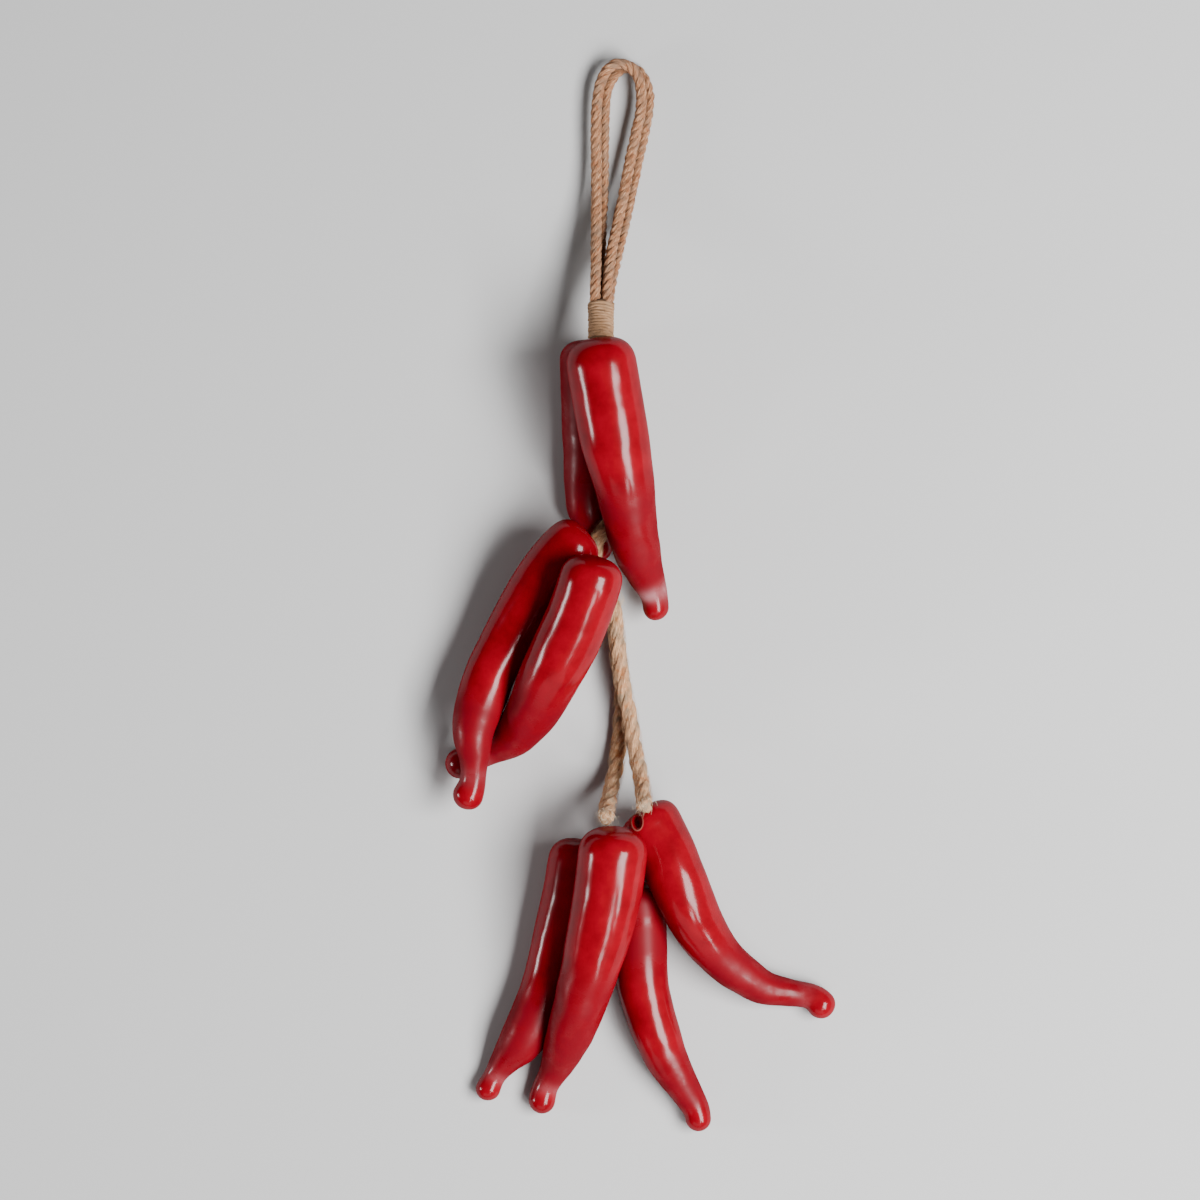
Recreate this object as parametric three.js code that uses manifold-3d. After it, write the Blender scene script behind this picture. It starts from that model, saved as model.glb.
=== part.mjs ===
// A decorative string of eight glazed earthenware chillies on jute rope, laid on its back on a table.
//
// Units are millimetres. +X is the string's right-hand side, +Y runs up the string to the hanging
// loop and +Z points up from the table, which is the plane z = 0. The origin is the middle of the
// ground that the chillies and the whipping cover.
//
// Eight chillies hang in three bunches: two at the top, two in the middle and four at the foot. A
// doubled cord makes the hanging loop. A whipping of twine binds the loop to the main rope, and a
// side rope is hitched to the main one half-way down.

import * as THREE from "three";
import { mergeVertices } from "three/addons/utils/BufferGeometryUtils.js";
import Module from "manifold-3d";

const wasm = await Module();
wasm.setup();

// ---- Driving dimensions ----

// A chilli's crown is a blunt dome and its tip is a round knob behind a slight neck.
const CROWN_DEPTH = 0.86; // depth of the dome, in radii of the body behind it
const CROWN_BLUNTNESS = 2.6; // exponent of the dome's superellipse: 2 is round, more is flatter
const NECK_REACH = 2.3; // distance from the tip to the neck, in knob radii
const BODY_SHARES = [0.15, 0.35, 0.55, 0.75]; // where the girth is given, as shares of the length
const CHILLI_SIDES = 18;
const DOME_RINGS = 5;
const BODY_RINGS = 10;
const KNOB_RINGS = 4;
const SPINE_SAMPLES = 12;
const SEAT = -0.3; // underside height of a chilli that lies on the table: it is ground flat to z = 0

const LOOP_CORD = 5.6; // diameters of the cords and ropes
const ROPE = 8;
const CORD_SIDES = 10;
const CORD_STEP = 1.5; // length of one stretch of tube, in diameters

const WHIPPING = {
  foot: new THREE.Vector3(-20, 190, 29.4), // where the rope comes out
  head: new THREE.Vector3(-20, 207.7, 25), // where the loop comes out
  width: 13,
  depth: 14,
  turns: 12,
  groove: 0.4, // depth between two turns
  sides: 20,
};

// The hole in the crown of the right-hand chilli at the foot, which the main rope ends at.
const ROPE_HOLE = {
  x: -2,
  y: -51.3,
  width: 5.4,
  length: 8,
  bottom: 28, // height of its floor above the table
  top: 60, // higher than the crown
  sides: 20,
};
const WELD = 0.001; // vertices closer than this are one

// ---- Finishes ----

const glaze = new THREE.MeshStandardMaterial({
  color: 0xb80c12,
  roughness: 0.12,
  metalness: 0,
});
const juteCord = new THREE.MeshStandardMaterial({
  color: 0xa67c5a,
  roughness: 0.9,
  metalness: 0,
});
const juteRope = new THREE.MeshStandardMaterial({
  color: 0xbd9672,
  roughness: 0.95,
  metalness: 0,
});
const juteTwine = new THREE.MeshStandardMaterial({
  color: 0xc7a487,
  roughness: 0.85,
  metalness: 0,
});

// ---- The chillies ----

// spine: points along the chilli from crown to tip, each [x, y, height of the underside].
// girth: radii at four shares of the length, then at the neck and at the knob. The crown's is stated
// only where it is swollen. ropeHole: true where the hole for the rope shows.
const CHILLIES = {
  chilli_top_front: {
    spine: [
      [-21.4, 188.8, 32.6],
      [-18, 165, 32],
      [-12.5, 135.5, 30.2],
      [-8, 115, 26.5],
      [-4.3, 94, 19.6],
      [1.6, 75, 12.8],
      [7.2, 60, 9],
      [8, 49, 7.5],
    ],
    girth: { body: [17.4, 17, 14.3, 11.6], neck: 7.3, knob: 6.5 },
  },
  chilli_top_back: {
    spine: [
      [-27.2, 189.9, SEAT],
      [-26.2, 165, SEAT],
      [-26.2, 140, SEAT],
      [-26.8, 120, SEAT],
      [-27.2, 106, SEAT],
      [-25, 95, SEAT],
      [-21.4, 87, SEAT],
      [-20.2, 79, SEAT],
    ],
    girth: { body: [14.3, 13.8, 12, 10.1], neck: 6.2, knob: 6.2 },
  },
  chilli_middle_left: {
    spine: [
      [-25.8, 92, 16.6],
      [-37.6, 82, 16.2],
      [-54.2, 60, 11.6],
      [-69, 34.3, 6.4],
      [-80.4, 8.5, 9.8],
      [-84.2, -14, 17.6],
      [-83, -25, 17.6],
      [-86, -37.5, 14.6],
      [-89.9, -45.4, 13],
    ],
    girth: { body: [14.8, 14, 13.1, 10.2], neck: 7, knob: 8 },
  },
  chilli_middle_front: {
    spine: [
      [-22.5, 80.5, 43],
      [-26, 66, 40],
      [-34.2, 44, 31.2],
      [-46.3, 19.5, 22],
      [-55.4, 2.3, 11.5],
      [-65, -9.8, 2.5],
      [-79, -18.9, SEAT],
      [-89, -22.7, SEAT],
      [-98.3, -26, SEAT],
    ],
    girth: { body: [15.8, 15.9, 13.9, 10.5], neck: 7, knob: 8.2 },
  },
  chilli_foot_left: {
    spine: [
      [-29.5, -61.2, SEAT],
      [-33.8, -85, SEAT],
      [-39.2, -106, SEAT],
      [-44.8, -126, SEAT],
      [-52.3, -146.3, SEAT],
      [-61.2, -164.8, SEAT],
      [-71.6, -177.4, SEAT],
      [-79, -192.8, SEAT],
    ],
    girth: { body: [15, 14, 12.3, 10.8], neck: 5.6, knob: 6 },
  },
  chilli_foot_front: {
    spine: [
      [-13, -53.8, 35.6],
      [-15.5, -78, 30.3],
      [-20.2, -103, 26],
      [-28, -133.5, 20.5],
      [-34.9, -155.6, 14.6],
      [-42.2, -174.3, 4],
      [-48.5, -188, SEAT],
      [-50.9, -199.6, SEAT],
    ],
    girth: { body: [17.1, 16, 13.5, 9.9], neck: 6.2, knob: 6.5 },
  },
  chilli_foot_back: {
    spine: [
      [-2, -83, SEAT],
      [-0.5, -110, SEAT],
      [0.8, -133, SEAT],
      [5.2, -151, SEAT],
      [12, -169.8, SEAT],
      [20.3, -184.2, SEAT],
      [25.8, -192.5, SEAT],
      [29, -201, SEAT],
      [29.6, -208.6, SEAT],
    ],
    girth: { body: [13.6, 13.2, 12.2, 9.3], neck: 7, knob: 6.4 },
  },
  chilli_foot_right: {
    spine: [
      [-1.8, -47.5, 5],
      [3.6, -54.4, 7.5],
      [9.5, -61.9, 10.8],
      [14.6, -71.9, 14.5],
      [20.4, -85.6, 15.3],
      [29.8, -105.4, 10],
      [42.5, -122.2, 5],
      [65, -137.5, 0.5],
      [81.9, -139.8, SEAT],
      [90.4, -143, SEAT],
      [95.8, -149.9, SEAT],
    ],
    girth: { crown: 17.8, body: [15.2, 14.2, 11.3, 8.5], neck: 6.3, knob: 7.2 },
    ropeHole: true,
  },
};

// Radius of the body without its rounded ends, as a function of the share of the length.
function girthAlong(girth, length) {
  const neck = 1 - (NECK_REACH * girth.knob) / length;
  const places = [0, ...BODY_SHARES, neck, 1 - girth.knob / length, 1];
  const crown = girth.crown ?? girth.body[0];
  const radii = [crown, ...girth.body, girth.neck, girth.knob, girth.knob];
  const spline = new THREE.CubicInterpolant(places, radii, 1, new Float32Array(1));
  return (share) => spline.evaluate(share)[0];
}

// Centre line: the plan route, raised by the radius so that the underside has the stated height.
function spineCurve({ spine, girth }) {
  const underside = new THREE.CatmullRomCurve3(spine.map((p) => new THREE.Vector3(...p)));
  const radiusAt = girthAlong(girth, underside.getLength());
  const centres = underside.getSpacedPoints(SPINE_SAMPLES);
  centres.forEach((p, i) => (p.z += radiusAt(i / SPINE_SAMPLES)));
  return new THREE.CatmullRomCurve3(centres);
}

// Lathe profile of the straight chilli: x is the radius and y the distance from the crown.
function chilliProfile(girth, length) {
  const radiusAt = girthAlong(girth, length);
  const dome = CROWN_DEPTH * girth.body[0];
  const knobCentre = length - girth.knob;
  const profile = [];
  for (let i = 0; i < DOME_RINGS; i++) {
    const depth = 1 - Math.cos((i / DOME_RINGS) * (Math.PI / 2));
    const fullness = (1 - (1 - depth) ** CROWN_BLUNTNESS) ** (1 / CROWN_BLUNTNESS);
    profile.push(new THREE.Vector2(fullness * radiusAt((depth * dome) / length), depth * dome));
  }
  for (let i = 0; i < BODY_RINGS; i++) {
    const at = THREE.MathUtils.lerp(dome, knobCentre, i / BODY_RINGS);
    profile.push(new THREE.Vector2(radiusAt(at / length), at));
  }
  for (let i = 0; i <= KNOB_RINGS; i++) {
    const turn = (i / KNOB_RINGS) * (Math.PI / 2);
    const radius = i === KNOB_RINGS ? 0 : girth.knob * Math.cos(turn);
    profile.push(new THREE.Vector2(radius, knobCentre + girth.knob * Math.sin(turn)));
  }
  return profile;
}

// Bends a straight lathe form, whose axis is +Y, along a curve of the same length.
function bendAlong(geometry, curve, length) {
  const position = geometry.getAttribute("position");
  const vertex = new THREE.Vector3();
  const up = new THREE.Vector3(0, 0, 1);
  for (let i = 0; i < position.count; i++) {
    vertex.fromBufferAttribute(position, i);
    const share = THREE.MathUtils.clamp(vertex.y / length, 0, 1);
    const tangent = curve.getTangentAt(share);
    const side = new THREE.Vector3().crossVectors(tangent, up).normalize();
    const normal = new THREE.Vector3().crossVectors(side, tangent);
    const placed = curve
      .getPointAt(share)
      .addScaledVector(side, vertex.x)
      .addScaledVector(normal, vertex.z);
    position.setXYZ(i, placed.x, placed.y, placed.z);
  }
}

// Whatever would reach below the table is ground flat.
function grindFlat(geometry) {
  const position = geometry.getAttribute("position");
  for (let i = 0; i < position.count; i++) {
    position.setZ(i, Math.max(position.getZ(i), 0));
  }
}

function chilliGeometry(spec) {
  const curve = spineCurve(spec);
  const length = curve.getLength();
  const halfSide = Math.PI / CHILLI_SIDES; // puts one side flat underneath
  const profile = chilliProfile(spec.girth, length);
  const geometry = new THREE.LatheGeometry(profile, CHILLI_SIDES, halfSide);
  bendAlong(geometry, curve, length);
  grindFlat(geometry);
  return geometry;
}

// ---- The rope hole ----

function toSolid(geometry) {
  const bare = new THREE.BufferGeometry();
  bare.setAttribute("position", geometry.getAttribute("position"));
  bare.setIndex(geometry.getIndex());
  const welded = mergeVertices(bare, WELD);
  const mesh = new wasm.Mesh({
    numProp: 3,
    vertProperties: welded.getAttribute("position").array,
    triVerts: new Uint32Array(welded.getIndex().array),
  });
  return new wasm.Manifold(mesh);
}

function toGeometry(solid) {
  const mesh = solid.getMesh();
  const geometry = new THREE.BufferGeometry();
  geometry.setAttribute("position", new THREE.BufferAttribute(mesh.vertProperties, 3));
  geometry.setIndex(new THREE.BufferAttribute(mesh.triVerts, 1));
  geometry.computeVertexNormals();
  return geometry;
}

// Cuts the blind oval hole straight down into a crown.
function withRopeHole(geometry) {
  const { x, y, width, length, bottom, top, sides } = ROPE_HOLE;
  const drill = new THREE.CylinderGeometry(width / 2, width / 2, top - bottom, sides);
  drill.rotateX(Math.PI / 2);
  drill.scale(1, length / width, 1);
  drill.translate(x, y, (top + bottom) / 2);
  return toGeometry(toSolid(geometry).subtract(toSolid(drill)));
}

// ---- Ropes, cords and twine ----

function strand(route, diameter) {
  const section = new THREE.Shape();
  for (let i = 0; i < CORD_SIDES; i++) {
    const turn = (i / CORD_SIDES) * 2 * Math.PI;
    const corner = [(diameter / 2) * Math.cos(turn), (diameter / 2) * Math.sin(turn)];
    if (i === 0) section.moveTo(...corner);
    else section.lineTo(...corner);
  }
  section.closePath();
  const path = new THREE.CatmullRomCurve3(route.map((p) => new THREE.Vector3(...p)));
  const steps = Math.round(path.getLength() / (CORD_STEP * diameter));
  return new THREE.ExtrudeGeometry(section, { steps, extrudePath: path, bevelEnabled: false });
}

// The main rope leaves the whipping between the two top chillies, runs down beside the back one,
// passes under the middle bunch and ends at the crown of the right-hand chilli at the foot.
const MAIN_ROPE = [
  [-20, 189.3, 29.5],
  [-19.8, 187.3, 29.9],
  [-18.2, 184.6, 29.5],
  [-14.9, 180.6, 28.1],
  [-11.3, 174, 25.8],
  [-9.4, 165, 23.6],
  [-8, 150, 19],
  [-6.5, 132, 13],
  [-7.5, 118, 9],
  [-9.8, 107, 9.8],
  [-13, 99.9, 13.5],
  [-17.6, 95, 16.3],
  [-21.8, 89.5, 17],
  [-23.3, 83.5, 16],
  [-22.6, 75, 14.4],
  [-19.2, 67, 13],
  [-15, 58.5, 12.6],
  [-12.9, 50, 12.8],
  [-11.9, 40, 12.8],
  [-10.9, 30, 12.8],
  [-9, 17, 12.8],
  [-6, 2, 12.6],
  [-3.9, -10, 14.5],
  [-1.9, -21, 19.5],
  [0, -30, 25.5],
  [1, -36.6, 31.5],
  [1.4, -40.5, 36],
  [1.4, -44, 40.8],
];
// The side rope is hitched under the main one and ends at the crown of the front chilli.
const SIDE_ROPE = [
  [-16.5, 60, 4.2],
  [-13.2, 46, 4.2],
  [-11.3, 32, 4.2],
  [-9.6, 16, 4.2],
  [-9.7, 2, 4.2],
  [-11, -14, 4.6],
  [-12.6, -26, 7],
  [-14.7, -35, 13],
  [-16.2, -41.5, 22],
  [-17.3, -45.5, 32],
  [-17.3, -47.6, 39.5],
  [-17.3, -49.2, 44.3],
];

// The hanging loop is one cord laid double: the upper turn lies on the under turn.
const LOOP_UPPER = [
  [-22.9, 209, 27.8],
  [-22.8, 216.5, 25.8],
  [-22.5, 228.2, 21.6],
  [-22.4, 242.1, 16.6],
  [-22.2, 260.1, 11.3],
  [-22.3, 278, 9],
  [-22.5, 295.6, 8.6],
  [-22, 308.3, 8.6],
  [-20.2, 319.2, 8.6],
  [-16.4, 326.2, 8.6],
  [-11.5, 329, 8.6],
  [-6, 327.7, 8.6],
  [-1.4, 322.5, 8.6],
  [0.3, 314.4, 8.6],
  [0.1, 305.7, 8.6],
  [-2.2, 294.6, 8.6],
  [-5.5, 279.5, 9],
  [-8.4, 263.7, 10.8],
  [-11.7, 248.3, 14.4],
  [-14.5, 234.4, 19.2],
  [-16.3, 221.5, 24.2],
  [-17, 209, 27.8],
];
const LOOP_UNDER = [
  [-22.5, 207.8, 22.1],
  [-20.7, 216.8, 19.3],
  [-20.1, 228.7, 15.2],
  [-20, 242.6, 10.6],
  [-19.1, 260.6, 5.4],
  [-18.7, 278.5, 3.1],
  [-18.4, 296.2, 2.8],
  [-18, 308.8, 2.8],
  [-16.6, 317.3, 2.8],
  [-12.8, 324.4, 2.8],
  [-7.6, 327.6, 2.8],
  [-2, 326.4, 2.8],
  [2.1, 320.9, 2.8],
  [4.1, 312.9, 2.8],
  [3.6, 305.3, 2.8],
  [1.8, 295.2, 2.8],
  [-1.5, 280, 3.2],
  [-4.7, 264.3, 4.9],
  [-8, 248.8, 8.6],
  [-11.2, 234.9, 13.1],
  [-14.2, 222, 17.8],
  [-16.5, 207.8, 22.1],
];

// ---- The whipping ----

function whippingGeometry() {
  const { foot, head, width, depth, turns, groove, sides } = WHIPPING;
  const axis = new THREE.Vector3().subVectors(head, foot);
  const length = axis.length();
  const pitch = length / turns;
  const profile = [new THREE.Vector2(0, 0)];
  for (let i = 0; i <= 2 * turns; i++) {
    const crest = i % 2 === 1;
    profile.push(new THREE.Vector2(width / 2 - (crest ? 0 : groove), (i * pitch) / 2));
  }
  profile.push(new THREE.Vector2(0, length));
  const geometry = new THREE.LatheGeometry(profile, sides);
  geometry.scale(1, 1, depth / width);
  geometry.applyQuaternion(
    new THREE.Quaternion().setFromUnitVectors(new THREE.Vector3(0, 1, 0), axis.normalize()),
  );
  geometry.translate(foot.x, foot.y, foot.z);
  return geometry;
}

// ---- The assembly ----

const string = new THREE.Group();

function add(name, geometry, material) {
  const mesh = new THREE.Mesh(geometry, material);
  mesh.name = name;
  string.add(mesh);
}

for (const [name, spec] of Object.entries(CHILLIES)) {
  const geometry = chilliGeometry(spec);
  add(name, spec.ropeHole ? withRopeHole(geometry) : geometry, glaze);
}
add("whipping", whippingGeometry(), juteTwine);
add("loop_cord_upper", strand(LOOP_UPPER, LOOP_CORD), juteCord);
add("loop_cord_under", strand(LOOP_UNDER, LOOP_CORD), juteCord);
add("rope_main", strand(MAIN_ROPE, ROPE), juteRope);
add("rope_side", strand(SIDE_ROPE, ROPE), juteRope);

export default string;
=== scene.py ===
# %% [markdown]
# # A string of glazed chillies on jute rope
#
# This lesson builds an ornament: eight red glazed earthenware chillies that hang in bunches on a
# jute rope, laid on its back on a white table. The two things to learn are how to bend a turned
# form along a curve, which gives each chilli, and how to lay strands into a rope that has real
# twists in it instead of a picture of them.
#
# A CAD model of the same string gives the frame. Every piece made here replaces one CAD solid, so
# the routes and the girths below are the CAD's own, in millimetres.

# %% Load the frame and the libraries
import math
import random

import bpy
import numpy as np
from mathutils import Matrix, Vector, kdtree, noise


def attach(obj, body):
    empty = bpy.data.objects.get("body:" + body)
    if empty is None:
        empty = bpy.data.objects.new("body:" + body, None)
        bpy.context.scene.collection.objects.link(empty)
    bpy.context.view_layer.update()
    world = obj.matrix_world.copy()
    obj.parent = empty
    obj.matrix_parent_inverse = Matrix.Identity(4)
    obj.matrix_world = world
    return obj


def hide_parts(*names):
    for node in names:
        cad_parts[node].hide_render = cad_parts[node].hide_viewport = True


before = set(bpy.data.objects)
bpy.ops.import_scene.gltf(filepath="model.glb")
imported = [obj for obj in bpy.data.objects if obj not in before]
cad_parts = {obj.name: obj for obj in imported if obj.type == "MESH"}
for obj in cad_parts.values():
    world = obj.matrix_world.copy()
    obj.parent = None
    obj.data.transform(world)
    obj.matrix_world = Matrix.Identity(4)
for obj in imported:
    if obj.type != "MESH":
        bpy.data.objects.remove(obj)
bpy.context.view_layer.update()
MM = 0.001

# %% [markdown]
# ## Small tools
#
# Colours are written as the hex values that a paint chart or a web page would show. Blender
# computes light with linear values, so one function turns the hex value into those.

# %% Colour, mesh and node helpers
def linear(hex_colour, alpha=1.0):
    """Turns an sRGB hex colour into the linear RGBA that the shader sockets want."""
    channels = []
    for start in (1, 3, 5):
        value = int(hex_colour[start:start + 2], 16) / 255
        if value <= 0.04045:
            channels.append(value / 12.92)
        else:
            channels.append(((value + 0.055) / 1.055) ** 2.4)
    return (*channels, alpha)


def add_node(tree, kind, inputs=None, **settings):
    """Adds one node, sets its options, and fills or links its input sockets."""
    node = tree.nodes.new(kind)
    for option, value in settings.items():
        setattr(node, option, value)
    for socket, value in (inputs or {}).items():
        if isinstance(value, bpy.types.NodeSocket):
            tree.links.new(value, node.inputs[socket])
        else:
            node.inputs[socket].default_value = value
    return node


def add_ramp(tree, factor, stops):
    """Adds a colour ramp whose stops are (position, hex colour)."""
    node = add_node(tree, "ShaderNodeValToRGB", {"Fac": factor})
    ramp = node.color_ramp
    while len(ramp.elements) < len(stops):
        ramp.elements.new(1.0)
    for element, (position, hex_colour) in zip(ramp.elements, stops):
        element.position = position
        element.color = linear(hex_colour)
    return node.outputs["Color"]


def new_material(name):
    """Makes an empty node material and returns it with its tree and its output node."""
    material = bpy.data.materials.new(name)
    material.use_nodes = True
    tree = material.node_tree
    tree.nodes.clear()
    output = tree.nodes.new("ShaderNodeOutputMaterial")
    return material, tree, output


def mesh_object(name, vertices, faces, material, uvs=None, attributes=None):
    """Makes a smooth-shaded mesh object from arrays of vertices and quads, in metres."""
    mesh = bpy.data.meshes.new(name)
    mesh.from_pydata([tuple(v) for v in vertices], [], [tuple(f) for f in faces])
    mesh.shade_smooth()
    if uvs is not None:
        layer = mesh.uv_layers.new(name="strand")
        corners = np.empty(len(mesh.loops), dtype=np.int32)
        mesh.loops.foreach_get("vertex_index", corners)
        layer.data.foreach_set("uv", np.asarray(uvs, dtype=np.float32)[corners].ravel())
    for key, values in (attributes or {}).items():
        attribute = mesh.attributes.new(key, "FLOAT", "POINT")
        attribute.data.foreach_set("value", np.asarray(values, dtype=np.float32))
    mesh.materials.append(material)
    mesh.update()
    piece = bpy.data.objects.new(name, mesh)
    bpy.context.scene.collection.objects.link(piece)
    return piece


def hand_over(piece, node):
    """Hangs the piece under the root body and hides the CAD solid that it stands for."""
    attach(piece, "root")
    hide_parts(node)


print("mid grey, #808080, is", round(linear("#808080")[0], 3), "in linear light")

# %% [markdown]
# ## Curves
#
# A centripetal Catmull-Rom spline passes through every point it is given and makes no loops where
# the points lie close together, so it suits routes that are read off a real object. The points come
# back evenly spaced, which keeps the mesh rings and the twist of a rope even too.

# %% Curve helpers
FINE_SAMPLES = 40  # spline samples between two given points, before they are spaced evenly


def hermite_weights(t):
    """Weights of start, start slope, end and end slope at the share t of one stretch."""
    start = 2 * t**3 - 3 * t**2 + 1
    start_slope = t**3 - 2 * t**2 + t
    end = -2 * t**3 + 3 * t**2
    end_slope = t**3 - t**2
    return start, start_slope, end, end_slope


def spline_points(points):
    """Samples the centripetal Catmull-Rom spline through the points."""
    points = np.asarray(points, dtype=float)
    padded = np.vstack([2 * points[0] - points[1], points, 2 * points[-1] - points[-2]])
    samples = [points[0]]
    for i in range(len(points) - 1):
        p0, p1, p2, p3 = padded[i:i + 4]
        d0 = np.linalg.norm(p1 - p0) ** 0.5
        d1 = np.linalg.norm(p2 - p1) ** 0.5
        d2 = np.linalg.norm(p3 - p2) ** 0.5
        m1 = ((p1 - p0) / d0 - (p2 - p0) / (d0 + d1) + (p2 - p1) / d1) * d1
        m2 = ((p2 - p1) / d1 - (p3 - p1) / (d1 + d2) + (p3 - p2) / d2) * d1
        for step in range(1, FINE_SAMPLES + 1):
            a, b, c, d = hermite_weights(step / FINE_SAMPLES)
            samples.append(a * p1 + b * m1 + c * p2 + d * m2)
    return np.array(samples)


def distances_along(line):
    """Distance of each point from the start, measured along the line."""
    steps = np.linalg.norm(np.diff(line, axis=0), axis=1)
    return np.concatenate([[0.0], np.cumsum(steps)])


def evenly(line, count):
    """Returns count + 1 points spaced evenly along the line."""
    along = distances_along(line)
    wanted = np.linspace(0, along[-1], count + 1)
    return np.stack([np.interp(wanted, along, line[:, k]) for k in range(3)], axis=1)


def tangents_of(line):
    """Unit direction of the line at each of its points."""
    tangents = np.gradient(line, axis=0)
    return tangents / np.linalg.norm(tangents, axis=1, keepdims=True)


print("the spline takes", FINE_SAMPLES, "samples between two given points")

# %% Tubes round a curve
def carried_frame(line):
    """Two unit vectors across the line that turn with it but never twist round it."""
    tangents = tangents_of(line)
    first = np.cross(tangents[0], [0.0, 0.0, 1.0])
    if np.linalg.norm(first) < 0.1:
        first = np.cross(tangents[0], [0.0, 1.0, 0.0])
    normals = [first / np.linalg.norm(first)]
    for tangent in tangents[1:]:
        carried = normals[-1] - tangent * np.dot(normals[-1], tangent)
        normals.append(carried / np.linalg.norm(carried))
    normals = np.array(normals)
    return normals, np.cross(tangents, normals)


def skin(rings):
    """Joins rings of points, shaped (rings, sides, 3), into a tube with closed ends."""
    count, sides, _ = rings.shape
    i, j = np.meshgrid(np.arange(count - 1), np.arange(sides), indexing="ij")
    k = (j + 1) % sides
    quads = np.stack([i * sides + j, i * sides + k, (i + 1) * sides + k, (i + 1) * sides + j], -1)
    faces = quads.reshape(-1, 4).tolist()
    faces.append(list(range(sides))[::-1])
    faces.append(list(range((count - 1) * sides, count * sides)))
    return rings.reshape(-1, 3), faces


print("faces of a tube with 3 rings of 4 points:", len(skin(np.zeros((3, 4, 3)))[1]))

# %% [markdown]
# ## Camera
#
# The string can't stand, so it lies on its back and the camera looks straight down on it. A wide
# lens close by would swell the chillies on top; a long lens from 2.4 m keeps the high and the low
# ones in proportion. The camera comes first because everything after it is judged through it.

# %% Camera
CAMERA_HEIGHT = 2.425
CAMERA_OVER = (-0.0205, 0.059)
LENS_MM = 144
SENSOR_MM = 36

camera = bpy.data.objects.new("camera", bpy.data.cameras.new("camera"))
camera.data.lens = LENS_MM
camera.data.sensor_width = SENSOR_MM
camera.location = (*CAMERA_OVER, CAMERA_HEIGHT)
bpy.context.scene.collection.objects.link(camera)
bpy.context.scene.camera = camera
print("camera looks down from", CAMERA_HEIGHT, "m")

# %% [markdown]
# ## Jute
#
# Jute is a coarse plant fibre. Four things make it read as jute: fibres that run along each
# strand, a colour that drifts between straw, rust and grey every few millimetres, small dark
# flecks of bark, and no gloss but the faint sheen of its fuzz. The strand's own UV map measures
# metres round and metres along, so the noise can be stretched along the fibres in real sizes.
# Plain image textures would repeat and blur here. Little light gets down into the grooves, so each
# strand also carries how deep its surface lies, and the colour follows that as painted shade.

# %% Noise, easing and mixing
def noise_at(tree, vector, size, detail=2.0, roughness=0.55):
    """Noise whose features are about size metres across."""
    return add_node(
        tree,
        "ShaderNodeTexNoise",
        {"Vector": vector, "Scale": 1 / size, "Detail": detail, "Roughness": roughness},
    ).outputs["Fac"]


def ease_between(tree, value, low, high, bottom=0.0, top=1.0):
    """Takes value from low..high to bottom..top with soft ends."""
    return add_node(
        tree,
        "ShaderNodeMapRange",
        {"Value": value, "From Min": low, "From Max": high, "To Min": bottom, "To Max": top},
        interpolation_type="SMOOTHSTEP",
    ).outputs["Result"]


def blend(tree, factor, first, second):
    """Mixes two colours, which may be sockets or linear values."""
    return add_node(
        tree,
        "ShaderNodeMix",
        {"Factor": factor, "A": first, "B": second},
        data_type="RGBA",
    ).outputs["Result"]


print("shader helpers ready")

# %% Jute material
# A real fibre is about 0.1 mm wide, which is too fine to show here, so it is drawn coarser.
FIBRE_WIDTH = 0.5 * MM
FIBRE_LENGTH = 3.5 * MM
RUST_PATCH = 3.5 * MM
GREY_PATCH = 7.0 * MM
FLECK_SIZE = 0.7 * MM
PATCH_SHIFT = (0.37, 0.11, 0.23)  # m, so that the grey patches don't follow the rusty ones
BLEACHED = "#d8c9b0"
FIBRE_IOR = 1.45  # dry plant fibre


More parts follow.
